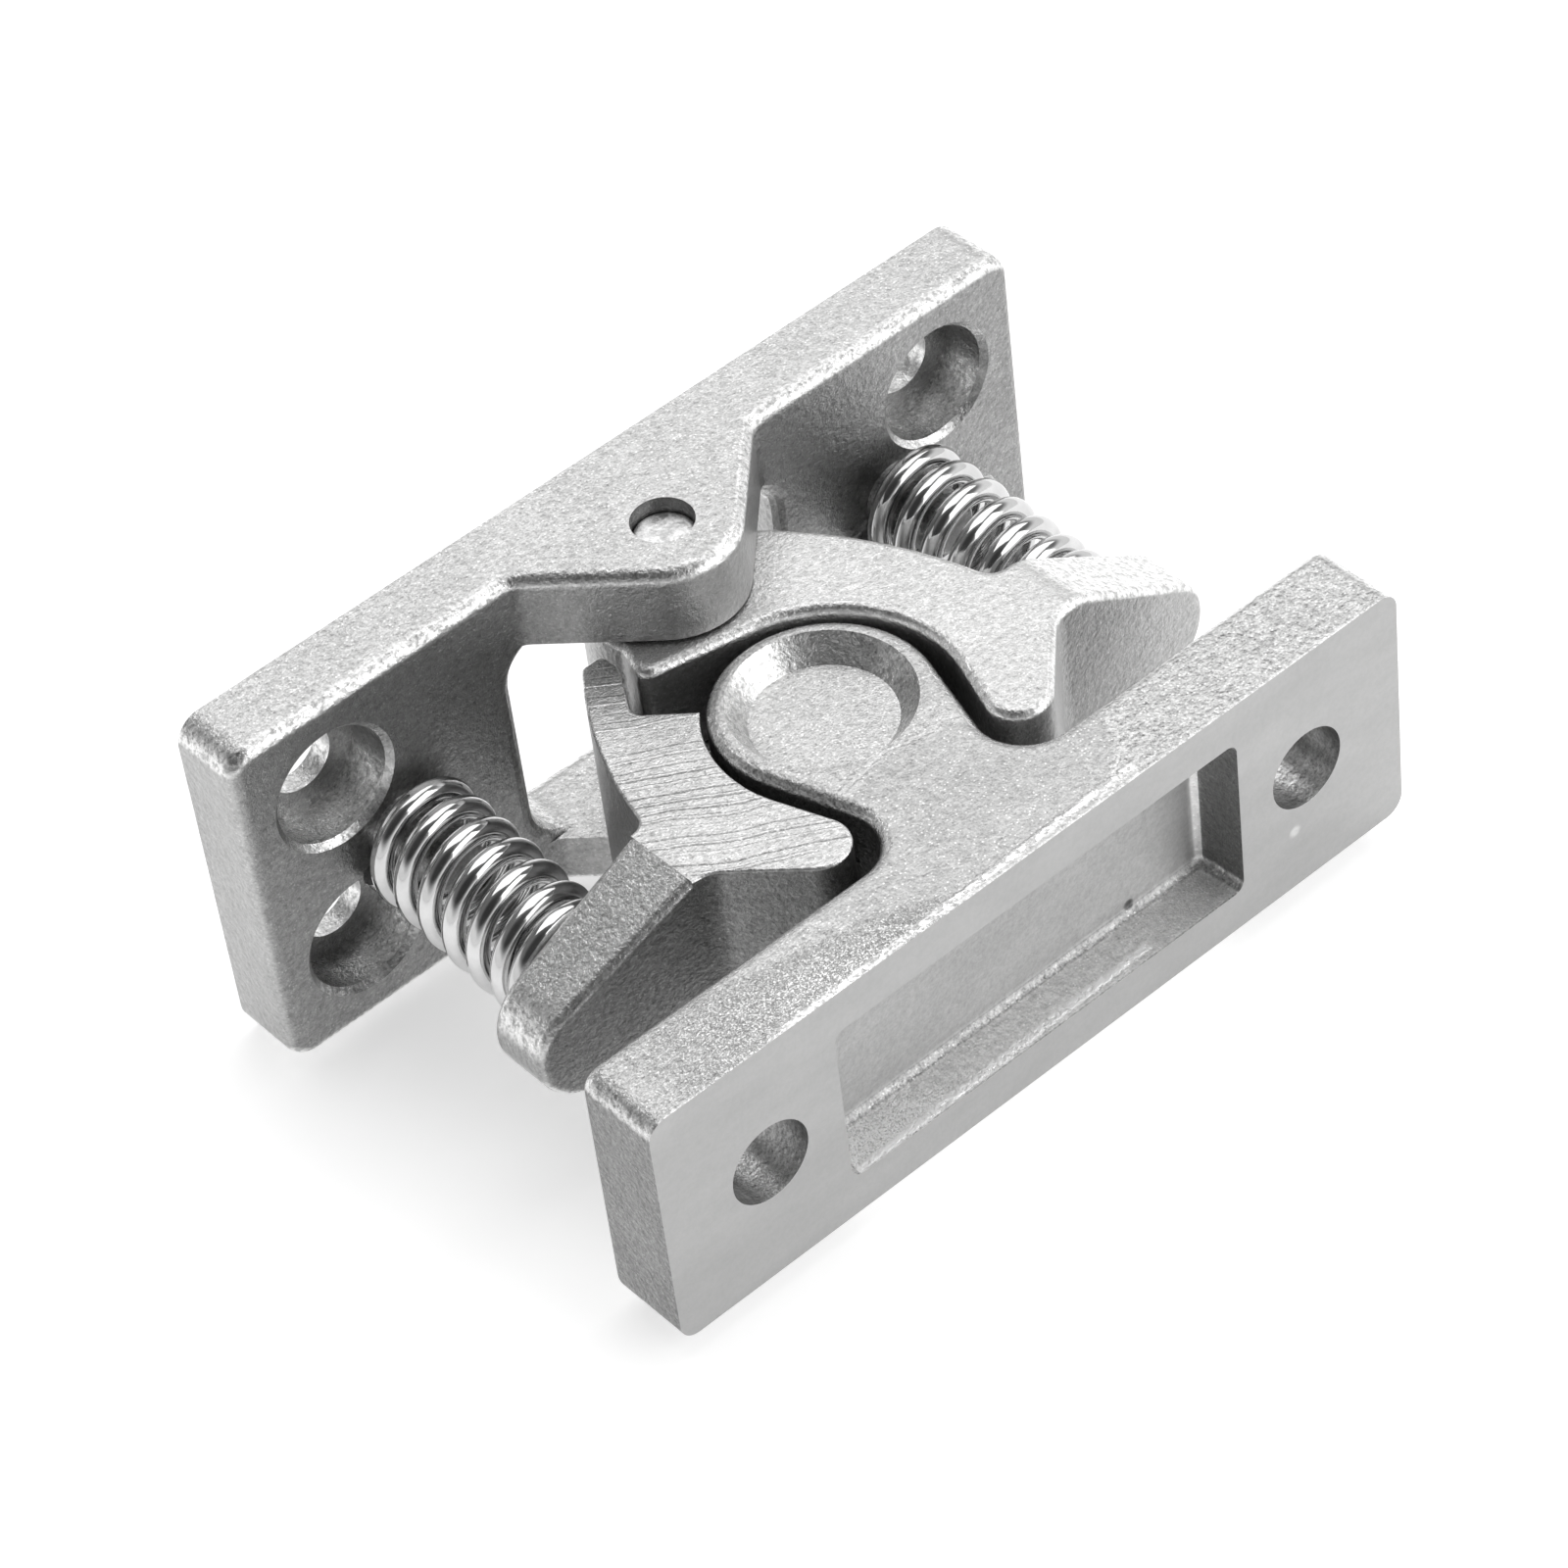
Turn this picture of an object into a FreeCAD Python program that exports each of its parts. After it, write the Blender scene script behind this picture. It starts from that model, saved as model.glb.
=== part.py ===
# Twin-jaw spring catch for a cupboard door, in millimetres.
# X runs along the plates, Z along the hinge pin, and the striker leaves towards -Y.
# The origin is the centre of the base's mounting face.
import math
import os

import FreeCAD
import Part

Vec = FreeCAD.Vector

# Base plate
plate_length = 61.0
plate_height = 25.4
plate_thick = 5.0
plate_corner_r = 1.8
plate_edge_r = 0.9
window_length = 20.8
window_corner_r = 3.0
window_rim_r = 1.15
rim_steps = 4

# Screw holes in the base
base_hole_span_x = 47.6
base_hole_span_z = 12.2
screw_hole_r = 2.25
counterbore_r = 3.95
counterbore_depth = 3.5
counterbore_lip = 0.4

# Ears and hinge pin
ear_thick = 5.2
low_ear_thick = 3.9
ear_pad_r = 5.9
ear_nose_r = 4.8
ear_edge_r = 0.8
ear_root_r = 1.6
pin_centre_y = -7.7
pin_r = 1.96
pin_sink = 1.0
pin_seat_gap = 0.02
pin_running_gap = 0.06

# Springs
spring_x = 19.7
spring_arm_x = 20.0
spring_arm_z = -1.2
spring_mean_r = 3.45
spring_wire_r = 0.74
spring_turns = 7.0
spring_end_turns = 1.0
spring_seat_gap = 0.05
spring_boss_r = 2.45
spring_boss_length = 5.2

# Jaws
jaw_end_gap = 0.2
jaw_step = 0.8
lug_gap = 0.2
lug_r = 5.7
finger_gap = 0.5
finger_width = 1.3
finger_tip_drop = 0.6
finger_corner_r = 0.5
tail_reach = 6.35
tail_corner_r = 0.9
socket_offset = 0.8
socket_shift = 0.95
socket_r = 8.5
socket_tail_angle = 78.0
tip_x = 7.9
tip_y = -29.2
tip_r = 2.1
arm_rear_y = -20.9
arm_thick = 5.6
arm_taper = 1.3
arm_reach = 26.3
arm_shoulder_x = 14.8
arm_soft_shoulder_x = 15.7
arm_gauge_x = 23.0
arm_gauge_top_z = 2.6
arm_gauge_under_z = -5.0
arm_bend_r = 3.0
arm_boss_r = 2.3
arm_boss_length = 2.2
jaw_edge_r = 0.6
jaw_ground_edge_r = 0.2

# Striker
striker_length = 58.0
striker_height = 18.0
striker_thick = 6.0
striker_front_y = -39.0
striker_drop = 2.2
striker_corner_r = 1.3
striker_back_edge_r = 0.8
striker_hole_span = 42.4
striker_hole_r = 2.8
striker_counterbore_r = 4.6
striker_counterbore_depth = 2.4
pocket_length = 31.4
pocket_height = 12.1
pocket_depth = 3.3
pocket_draft = 0.45
pocket_corner_r = 0.8
bulb_r = 6.95
bulb_centre_y = -21.1
neck_root_x = 7.85
neck_root_r = 3.1
dish_shift = 0.2
dish_r = 5.75
dish_floor_r = 4.5
dish_depth = 1.65

# Sizes that follow from the ones above
half_height = plate_height / 2
ear_inner_z = half_height - ear_thick
low_ear_z = low_ear_thick - half_height
plate_front_y = -plate_thick
jaw_high_z = ear_inner_z - jaw_end_gap
jaw_low_z = jaw_high_z - jaw_step
finger_tip_y = pin_centre_y - finger_tip_drop
socket_centre_y = bulb_centre_y - socket_shift
striker_back_y = striker_front_y + striker_thick
striker_top_z = striker_height / 2 - striker_drop
neck_root_y = striker_back_y + neck_root_r


def point_on(centre, radius, degrees):
    # Point of a circle in plan
    angle = math.radians(degrees)
    x = centre.x + radius * math.cos(angle)
    y = centre.y + radius * math.sin(angle)
    return Vec(x, y, 0)


def arc_edge(centre, radius, start, end):
    # Plan arc from one angle to another, either way round
    middle = (start + end) / 2
    first = point_on(centre, radius, start)
    between = point_on(centre, radius, middle)
    last = point_on(centre, radius, end)
    return Part.Arc(first, between, last).toShape()


def line_edge(first, last):
    return Part.makeLine(first, last)


def crossing_tangent(first, first_r, second, second_r):
    # Angle on the first circle where the tangent that crosses between two circles leaves it
    gap = second.sub(first)
    heading = math.degrees(math.atan2(gap.y, gap.x))
    lean = math.degrees(math.acos((first_r + second_r) / gap.Length))
    return heading + lean


def prism(edges, low, high):
    # Upright solid over a closed plan outline
    wire = Part.Wire(Part.__sortEdges__(edges))
    face = Part.Face(wire)
    face.translate(Vec(0, 0, low))
    return face.extrude(Vec(0, 0, high - low))


def polygon_prism(points, low, high):
    # Upright solid over straight plan edges
    corners = [Vec(x, y, low) for x, y in points]
    corners.append(corners[0])
    face = Part.Face(Part.makePolygon(corners))
    return face.extrude(Vec(0, 0, high - low))


def box(x0, x1, y0, y1, z0, z1):
    return Part.makeBox(x1 - x0, y1 - y0, z1 - z0, Vec(x0, y0, z0))


def bar_along_y(x, z, radius, y0, y1):
    return Part.makeCylinder(radius, y1 - y0, Vec(x, y0, z), Vec(0, 1, 0))


def bar_along_z(y, radius, z0, z1):
    return Part.makeCylinder(radius, z1 - z0, Vec(0, y, z0), Vec(0, 0, 1))


def soften(shape, radius, wanted):
    # Rounds the edges that the test picks, with a smaller radius where the full one can't fit
    edges = [edge for edge in shape.Edges if wanted(edge)]
    for share in (1.0, 0.7, 0.45, 0.25):
        try:
            rounded = shape.makeFillet(radius * share, edges)
        except Exception:
            continue
        if rounded.isValid() and rounded.Volume > 0.5 * shape.Volume:
            return rounded
    return shape


def ends_match(edge, test):
    return all(test(vertex.Point) for vertex in edge.Vertexes) and len(edge.Vertexes) > 0


def rounded_slab(length, height, y0, y1, corner_r):
    # Plate lying across Y with its four corners rounded
    slab = box(-length / 2, length / 2, y0, y1, -height / 2, height / 2)

    def is_corner(edge):
        box_size = edge.BoundBox
        return box_size.XLength < 1e-6 and box_size.ZLength < 1e-6

    return soften(slab, corner_r, is_corner)


def ear_outline_solid(low, high):
    # Blunt wedge with 45 degree flanks and a round nose about the pin
    centre = Vec(0, pin_centre_y, 0)
    left = point_on(centre, ear_nose_r, 225)
    right = point_on(centre, ear_nose_r, 315)
    root_y = plate_front_y + 0.5
    run = root_y - left.y
    left_root = Vec(left.x - run, root_y, 0)
    right_root = Vec(right.x + run, root_y, 0)
    nose = arc_edge(centre, ear_nose_r, 225, 315)
    sides = [line_edge(left_root, left), line_edge(right, right_root)]
    back = line_edge(right_root, left_root)
    return prism([nose, back] + sides, low, high)


def low_ear_pad():
    # Round pad that brings the thinner lower ear up to the jaws
    blank = ear_outline_solid(low_ear_z - 0.5, -ear_inner_z)
    return blank.common(bar_along_z(pin_centre_y, ear_pad_r, low_ear_z - 0.5, -ear_inner_z))


def window_face(height, y):
    # The window's outline at one depth, filled
    slab = rounded_slab(window_length, height, y, 1, window_corner_r)
    return min(slab.Faces, key=lambda face: face.CenterOfMass.y)


def side_flare(side, height):
    # Rounds the window's upright rim in front: its outline moves outward in steps along a quarter circle
    flare = None
    for i in range(rim_steps):
        start, end = (math.radians(90.0 * k / rim_steps) for k in (i, i + 1))
        near_y, far_y = (plate_front_y + window_rim_r * (1 - math.sin(a)) for a in (start, end))
        near_x, far_x = (side * window_rim_r * (1 - math.cos(a)) for a in (start, end))
        face = window_face(height, near_y)
        face.translate(Vec(near_x, 0, 0))
        step = face.extrude(Vec(far_x - near_x, far_y - near_y, 0))
        flare = step if flare is None else flare.fuse(step)
    return flare


def window_cutter():
    # Window through the plate with a soft rim at the back and, on its upright sides, in front
    height = ear_inner_z - low_ear_z
    middle_z = (ear_inner_z + low_ear_z) / 2
    window = rounded_slab(window_length, height, plate_front_y - 1, 1, window_corner_r)
    blank = box(-plate_length, plate_length, plate_front_y / 2, 0, -plate_height, plate_height)
    framed = blank.cut(window)

    def is_window_rim(edge):
        size = edge.BoundBox
        level = size.YLength < 0.01 and abs(size.YMax) < 0.01
        return level and max(abs(size.XMin), abs(size.XMax)) < window_length / 2 + 0.01

    cutter = window.fuse(blank.cut(soften(framed, window_rim_r, is_window_rim)))
    for side in (-1, 1):
        cutter = cutter.fuse(side_flare(side, height))
    cutter.translate(Vec(0, 0, middle_z))
    return cutter


def screw_cutter(x, z):
    # Stepped hole: narrow at the mounting face, wide and flat-bottomed at the front
    floor_y = plate_front_y + counterbore_depth
    hole = bar_along_y(x, z, screw_hole_r, floor_y - 0.1, 1)
    head = bar_along_y(x, z, counterbore_r, plate_front_y - 1, floor_y)
    lip_r = counterbore_r + counterbore_lip
    mouth_start = Vec(x, plate_front_y, z)
    mouth = Part.makeCone(lip_r, counterbore_r, counterbore_lip, mouth_start, Vec(0, 1, 0))
    return hole.fuse(head).fuse(mouth)


def make_base():
    # One casting: plate, two ears and two spring bosses
    plate = rounded_slab(plate_length, plate_height, plate_front_y, 0, plate_corner_r)
    ears = ear_outline_solid(ear_inner_z, half_height)
    ears = ears.fuse(ear_outline_solid(-half_height, low_ear_z))
    body = plate.fuse(ears).removeSplitter()

    def is_ear_root(edge):
        return ends_match(edge, lambda p: abs(p.y - plate_front_y) < 0.01) and edge.BoundBox.ZLength > 1

    body = soften(body, ear_root_r, lambda edge: is_ear_root(edge) and edge.BoundBox.XLength < 0.01
                  and abs(edge.Vertexes[0].X) < plate_length / 3)

    def is_rim(edge):
        size = edge.BoundBox
        flat_top = size.ZLength < 0.01 and abs(abs(size.ZMin) - half_height) < 0.01
        front = size.YLength < 0.01 and abs(size.YMin - plate_front_y) < 0.01
        at_back = size.YMax > -0.01
        in_ear_gap = abs(size.ZMin - ear_inner_z) < 0.01 or abs(size.ZMax - low_ear_z) < 0.01
        return (flat_top or front) and not at_back and not (in_ear_gap and front)

    body = soften(body, plate_edge_r, is_rim)
    body = body.cut(window_cutter()).fuse(low_ear_pad())
    for side in (-1, 1):
        for level in (-1, 1):
            body = body.cut(screw_cutter(side * base_hole_span_x / 2, level * base_hole_span_z / 2))
        boss = Part.makeCone(spring_boss_r, spring_boss_r * 0.8, spring_boss_length + 0.5,
                             Vec(side * spring_x, plate_front_y + 0.5, 0), Vec(0, -1, 0))
        boss = soften(boss, 0.7, lambda edge: edge.BoundBox.YMax < plate_front_y - 1)
        body = body.fuse(boss)
    pin_hole = bar_along_z(pin_centre_y, pin_r + pin_seat_gap, -half_height - 1, half_height + 1)
    return body.cut(pin_hole).removeSplitter()


def make_pin():
    # Hinge pin, sunk a little below both ears
    end_z = half_height - pin_sink
    pin = bar_along_z(pin_centre_y, pin_r, -end_z, end_z)
    return soften(pin, 0.35, lambda edge: edge.BoundBox.ZLength < 0.01)


def jaw_outline():
    # Plan outline of the jaw whose claw lies at +X, with its lug and tail
    pin = Vec(0, pin_centre_y, 0)
    socket = Vec(-socket_offset, socket_centre_y, 0)
    tip = Vec(tip_x, tip_y, 0)
    rear_y = arm_rear_y
    rear_start = Vec(lug_r + finger_gap + finger_width, pin_centre_y - 0.3, 0)
    rear_bend = Vec(rear_start.x + 4.0, pin_centre_y - 6.6, 0)
    rear_end = Vec(arm_shoulder_x - 1.1, rear_y, 0)
    span = rear_start.sub(pin)
    reach = math.degrees(math.acos(lug_r / span.Length))
    lug_start = math.degrees(math.atan2(span.y, span.x)) + reach

    inner = crossing_tangent(socket, socket_r, tip, tip_r)
    socket_low = point_on(socket, socket_r, inner)
    tip_inner = point_on(tip, tip_r, inner + 180)
    tail_root = point_on(socket, socket_r, socket_tail_angle)
    slope = math.radians(socket_tail_angle + 90)
    tail_run = (tail_reach + tail_root.x) / -math.cos(slope)
    tail_front = tail_root.add(Vec(math.cos(slope) * tail_run, math.sin(slope) * tail_run, 0))
    lug_end_angle = 197.0
    lug_end = point_on(pin, lug_r, lug_end_angle)

    front_root_y = rear_y - arm_thick
    end_x = arm_reach + 1.0
    front_end = Vec(end_x, front_root_y + arm_taper, 0)
    tip_outer = point_on(tip, tip_r, -45)
    flank_run = front_root_y - tip_outer.y
    flank_end = Vec(tip_outer.x + flank_run, front_root_y, 0)
    edges = [
        line_edge(point_on(pin, lug_r, lug_start), rear_start),
        Part.Arc(rear_start, rear_bend, rear_end).toShape(),
        line_edge(rear_end, Vec(end_x, rear_y, 0)),
        line_edge(Vec(end_x, rear_y, 0), front_end),
        line_edge(front_end, flank_end),
        line_edge(flank_end, tip_outer),
        arc_edge(tip, tip_r, -45, inner + 180 - 360),
        line_edge(tip_inner, socket_low),
        arc_edge(socket, socket_r, inner, socket_tail_angle),
        line_edge(tail_root, tail_front),
        line_edge(tail_front, lug_end),
        arc_edge(pin, lug_r, lug_end_angle, lug_start),
    ]
    marks = {
        "rear_end": rear_end,
        "flank_end": flank_end,
        "tail_front": tail_front,
        "lug_end": lug_end,
    }
    return edges, marks


def round_upright(shape, mark, radius):
    # Rounds the upright edge that stands on a plan point
    def stands_there(edge):
        size = edge.BoundBox
        thin = size.XLength < 0.01 and size.YLength < 0.01
        return thin and abs(size.XMin - mark.x) < 0.02 and abs(size.YMin - mark.y) < 0.02

    return soften(shape, radius, stands_there)


def notch_cutter(low, high):
    # Room for the other jaw's lug and tail, beside the narrow finger
    inner_x = lug_r + finger_gap
    corner_x = tail_reach + 1.95
    corner_y = pin_centre_y - 5.75
    depth = 6.0
    points = [
        (-40, 20),
        (40, 20),
        (40, finger_tip_y),
        (inner_x, finger_tip_y),
        (inner_x, pin_centre_y - 1.8),
        (inner_x + 0.3, pin_centre_y - 2.8),
        (corner_x, corner_y),
        (corner_x - depth, corner_y - depth * 0.95),
        (-40, corner_y - depth * 0.95),
    ]
    cutter = polygon_prism(points, low, high)
    return round_upright(cutter, Vec(corner_x, corner_y, 0), 0.9)


def arm_shoulder(x, level, slope, side, soft):
    # Where the flat face turns into the taper, above for side 1 and below for side -1
    if not soft:
        return [Vec(x, striker_front_y, level)]
    start_x = x - arm_bend_r * math.tan(slope / 2)
    points = []
    for share in (0, 0.5, 1):
        x = start_x + arm_bend_r * math.sin(slope * share)
        z = level - side * arm_bend_r * (1 - math.cos(slope * share))
        points.append(Vec(x, striker_front_y, z))
    return points


def arm_envelope(low, high, soft_is_high):
    # Tall at the claw, then tapering above and below to a round end about the spring
    high_x = arm_soft_shoulder_x if soft_is_high else arm_shoulder_x
    low_x = arm_shoulder_x if soft_is_high else arm_soft_shoulder_x
    above = math.atan2(high - arm_gauge_top_z, arm_gauge_x - high_x)
    below = math.atan2(arm_gauge_under_z - low, arm_gauge_x - low_x)
    slopes = math.tan(above) + math.tan(below)
    spread = 1 / math.cos(above) + 1 / math.cos(below)
    taken = math.tan(above) * (arm_reach - high_x) + math.tan(below) * (arm_reach - low_x)
    end_r = (high - low - taken) / (spread - slopes)
    centre_x = arm_reach - end_r
    centre_z = high - math.tan(above) * (centre_x - high_x) - end_r / math.cos(above)
    front = striker_front_y

    def at(x, z):
        return Vec(x, front, z)

    high_touch = at(centre_x + end_r * math.sin(above), centre_z + end_r * math.cos(above))
    low_touch = at(centre_x + end_r * math.sin(below), centre_z - end_r * math.cos(below))
    high_bend = arm_shoulder(high_x, high, above, 1, soft_is_high)
    low_bend = arm_shoulder(low_x, low, below, -1, not soft_is_high)
    soft_bend = high_bend if soft_is_high else low_bend
    edges = [
        line_edge(at(-40, high), high_bend[0]),
        line_edge(high_bend[-1], high_touch),
        Part.Arc(high_touch, at(arm_reach, centre_z), low_touch).toShape(),
        line_edge(low_touch, low_bend[-1]),
        line_edge(low_bend[0], at(-40, low)),
        line_edge(at(-40, low), at(-40, high)),
        Part.Arc(soft_bend[0], soft_bend[1], soft_bend[2]).toShape(),
    ]
    wire = Part.Wire(Part.__sortEdges__(edges))
    return Part.Face(wire).extrude(Vec(0, -front + 20, 0))


def make_jaw(low, high, lug_is_high):
    # Claw, arm and lug in one casting, drawn with its claw at +X
    edges, marks = jaw_outline()
    jaw = prism(edges, low, high)
    jaw = round_upright(jaw, marks["rear_end"], 1.2)
    jaw = round_upright(jaw, marks["flank_end"], 2.2)
    jaw = round_upright(jaw, marks["tail_front"], tail_corner_r)
    jaw = round_upright(jaw, marks["lug_end"], 1.0)
    if lug_is_high:
        jaw = jaw.cut(notch_cutter(low - 1, lug_gap / 2))
        rounded = high
        crisp = low
    else:
        jaw = jaw.cut(notch_cutter(-lug_gap / 2, high + 1))
        rounded = low
        crisp = high
    jaw = soften(jaw, finger_corner_r, is_finger_corner)
    arm = jaw.common(box(arm_shoulder_x, 40, -40, 0, low, high))
    arm = arm.common(arm_envelope(low, high, lug_is_high))
    jaw = jaw.cut(box(arm_shoulder_x, 40, -40, 0, low - 1, high + 1))
    jaw = soften(jaw, jaw_edge_r, lambda edge: is_rim_edge(edge, rounded))
    jaw = soften(jaw, jaw_ground_edge_r, lambda edge: is_rim_edge(edge, crisp))
    arm = soften(arm, jaw_edge_r, is_arm_edge)
    jaw = jaw.fuse(arm)
    boss = Part.makeCone(arm_boss_r, arm_boss_r * 0.85, arm_boss_length + 0.5,
                         Vec(spring_arm_x, arm_rear_y - 0.5, spring_arm_z), Vec(0, 1, 0))
    jaw = jaw.fuse(boss)
    bore = bar_along_z(pin_centre_y, pin_r + pin_running_gap, low - 1, high + 1)
    return jaw.cut(bore).removeSplitter()


def is_finger_corner(edge):
    # Upright edges at the finger's blunt end
    size = edge.BoundBox
    return size.XLength < 0.01 and size.YLength < 0.01 and abs(size.YMin - finger_tip_y) < 0.02


def is_rim_edge(edge, level):
    # Edges of the flat face at one end of the claw, without the section where the arm joins on
    size = edge.BoundBox
    flat = size.ZLength < 0.01 and abs(size.ZMin - level) < 0.01
    joint = size.XLength < 0.01 and abs(size.XMin - arm_shoulder_x) < 0.01
    return flat and not joint


def is_arm_edge(edge):
    # Front and rear edges of the arm, all the way round its end
    size = edge.BoundBox
    return size.XLength > 0.05 and size.YLength < size.XLength


def turned_over(shape):
    # Copy turned half a turn about Y
    copy = shape.copy()
    copy.rotate(Vec(0, 0, 0), Vec(0, 1, 0), 180)
    return copy


def striker_neck_outline():
    # Plan outline of the bulb with its tapering neck and hollow roots
    bulb = Vec(0, bulb_centre_y, 0)
    right_root = Vec(neck_root_x, neck_root_y, 0)
    angle = crossing_tangent(bulb, bulb_r, right_root, neck_root_r)
    bulb_right = point_on(bulb, bulb_r, angle)
    root_right = point_on(right_root, neck_root_r, angle + 180)
    left_root = Vec(-neck_root_x, neck_root_y, 0)
    bulb_left = Vec(-bulb_right.x, bulb_right.y, 0)
    root_left = Vec(-root_right.x, root_right.y, 0)
    inside_y = striker_back_y - 1
    edges = [
        arc_edge(bulb, bulb_r, angle, 180 - angle),
        line_edge(bulb_right, root_right),
        arc_edge(right_root, neck_root_r, angle + 180, 270),
        line_edge(Vec(neck_root_x, striker_back_y, 0), Vec(neck_root_x, inside_y, 0)),
        line_edge(Vec(neck_root_x, inside_y, 0), Vec(-neck_root_x, inside_y, 0)),
        line_edge(Vec(-neck_root_x, inside_y, 0), Vec(-neck_root_x, striker_back_y, 0)),
        arc_edge(left_root, neck_root_r, -90, -angle),
        line_edge(root_left, bulb_left),
    ]
    return edges


def tapered_pocket():
    # Long shallow recess in the striker's front face, a little smaller at its floor
    def frame_wire(length, height, y):
        x = length / 2
        z = height / 2
        corners = [Vec(-x, y, -z), Vec(x, y, -z), Vec(x, y, z), Vec(-x, y, z), Vec(-x, y, -z)]
        return Part.makePolygon(corners)

    floor_y = striker_front_y + pocket_depth
    mouth = frame_wire(pocket_length, pocket_height, striker_front_y)
    floor = frame_wire(pocket_length - 2 * pocket_draft, pocket_height - 2 * pocket_draft, floor_y)
    pocket = Part.makeLoft([mouth, floor], True, True)
    return soften(pocket, pocket_corner_r, lambda edge: edge.BoundBox.YLength > pocket_depth / 2
                  or edge.BoundBox.YMin > floor_y - 0.01)


def make_striker():
    # Plate with a long pocket in front and a bulb on a neck behind
    half = striker_height / 2
    plate = rounded_slab(striker_length, striker_height, striker_front_y, striker_back_y, striker_corner_r)
    bulb = prism(striker_neck_outline(), -half, half)
    body = plate.fuse(bulb).removeSplitter()

    def is_back_rim(edge):
        # Rim of the plate's back, running on round the neck and the bulb above and below
        size = edge.BoundBox
        behind = size.YMin > striker_back_y - 0.01
        level = size.ZLength < 0.01 and abs(abs(size.ZMin) - half) < 0.01
        plate_rim = size.YLength < 0.01 and abs(size.XMin) > neck_root_x + 0.01
        return behind and (level or plate_rim)

    body = soften(body, striker_back_edge_r, is_back_rim)
    dish_centre = Vec(0, bulb_centre_y + dish_shift, half - dish_depth)
    dish = Part.makeCone(dish_floor_r, dish_r, dish_depth, dish_centre, Vec(0, 0, 1))
    body = body.cut(dish)
    body = body.cut(turned_over(dish))
    body = body.cut(tapered_pocket())
    for side in (-1, 1):
        x = side * striker_hole_span / 2
        body = body.cut(bar_along_y(x, 0, striker_hole_r, striker_front_y - 1, striker_back_y + 1))
        seat_y = striker_back_y - striker_counterbore_depth
        body = body.cut(bar_along_y(x, 0, striker_counterbore_r, seat_y, striker_back_y + 1))
    body.translate(Vec(0, 0, -striker_drop))
    return body.removeSplitter()


def make_spring(side):
    # Compression spring between the base and one jaw's arm, with closed ends
    start_y = plate_front_y - spring_wire_r - spring_seat_gap
    end_y = arm_rear_y + spring_wire_r + spring_seat_gap
    closed = 2.1 * spring_wire_r
    length = start_y - end_y
    lean = (spring_arm_x - spring_x) / length
    sag = spring_arm_z / length
    open_turns = spring_turns - 2 * spring_end_turns
    open_pitch = (length - 2 * spring_end_turns * closed) / open_turns
    points = []
    steps = int(round(spring_turns * 16))
    for step in range(steps + 1):
        turn = spring_turns * step / steps
        low_turns = min(turn, spring_end_turns)
        mid_turns = min(max(turn - spring_end_turns, 0), open_turns)
        high_turns = max(turn - spring_end_turns - open_turns, 0)
        travel = (low_turns + high_turns) * closed + mid_turns * open_pitch
        angle = math.radians(200 + 360 * turn)
        centre_x = side * (spring_x + lean * travel)
        centre_z = sag * travel
        x = centre_x + spring_mean_r * math.cos(angle)
        z = centre_z + spring_mean_r * math.sin(angle)
        points.append(Vec(x, start_y - travel, z))
    path = Part.BSplineCurve()
    path.interpolate(points)
    spine = Part.Wire([path.toShape()])
    heading = path.tangent(path.FirstParameter)[0]
    profile = Part.Wire([Part.Circle(points[0], heading, spring_wire_r).toShape()])
    return spine.makePipeShell([profile], True, True)


def save(shape, name):
    if shape.ShapeType != "Solid" and len(shape.Solids) == 1:
        shape = shape.Solids[0]
    shape.exportStep("parts/" + name + ".step")


os.makedirs("parts", exist_ok=True)
left_jaw = make_jaw(-jaw_high_z, jaw_low_z, False).mirror(Vec(0, 0, 0), Vec(1, 0, 0))
save(make_base(), "base")
save(make_pin(), "pivot_pin")
save(make_jaw(-jaw_low_z, jaw_high_z, True), "right_jaw")
save(left_jaw, "left_jaw")
save(make_spring(1), "right_spring")
save(make_spring(-1), "left_spring")
save(make_striker(), "striker")
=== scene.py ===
import math

import bpy
from mathutils import Matrix, Vector


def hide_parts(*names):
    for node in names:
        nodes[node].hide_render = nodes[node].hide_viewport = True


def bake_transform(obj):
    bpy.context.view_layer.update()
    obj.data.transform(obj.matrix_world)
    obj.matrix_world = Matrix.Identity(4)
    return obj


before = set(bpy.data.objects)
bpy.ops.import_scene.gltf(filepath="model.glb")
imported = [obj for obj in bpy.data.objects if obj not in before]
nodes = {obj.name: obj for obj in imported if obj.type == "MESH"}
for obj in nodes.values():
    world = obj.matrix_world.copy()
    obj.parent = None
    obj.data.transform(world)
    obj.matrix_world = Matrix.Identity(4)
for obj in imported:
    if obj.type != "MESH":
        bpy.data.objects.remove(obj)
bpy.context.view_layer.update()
scene = bpy.context.scene

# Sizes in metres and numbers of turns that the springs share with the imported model
SPRING_X = 0.0197
SPRING_ARM_X = 0.0200
SPRING_ARM_Z = -0.0012
SPRING_MEAN_R = 0.00345
WIRE_R = 0.00074
SPRING_TURNS = 7.0
END_TURNS = 1.0
SPRING_START_Y = -0.00579
SPRING_END_Y = -0.02011
CLOSED_PITCH = 2.1 * WIRE_R

# Where the wire's first turn starts, in degrees about the spring's centre
START_ANGLE = 200

# How finely the wire's surface is divided
STEPS_PER_TURN = 60
POINTS_AROUND = 24

# Patterns of the cast surface, in spots per metre
FINE = 8200
SPECKS = 4300
GRIT = 2700
SAND = 1500
DRIFT = 170

# Each grain's light and shade is part of the colour. It is the change of the grit's pattern
# over a short fixed step, so it doesn't follow the lamps
GRIT_SHIFT = (0.3, 0.1, 0.7)
BRIGHT_SLOPE = (0.00005, 0.00007, -0.00005)

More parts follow.
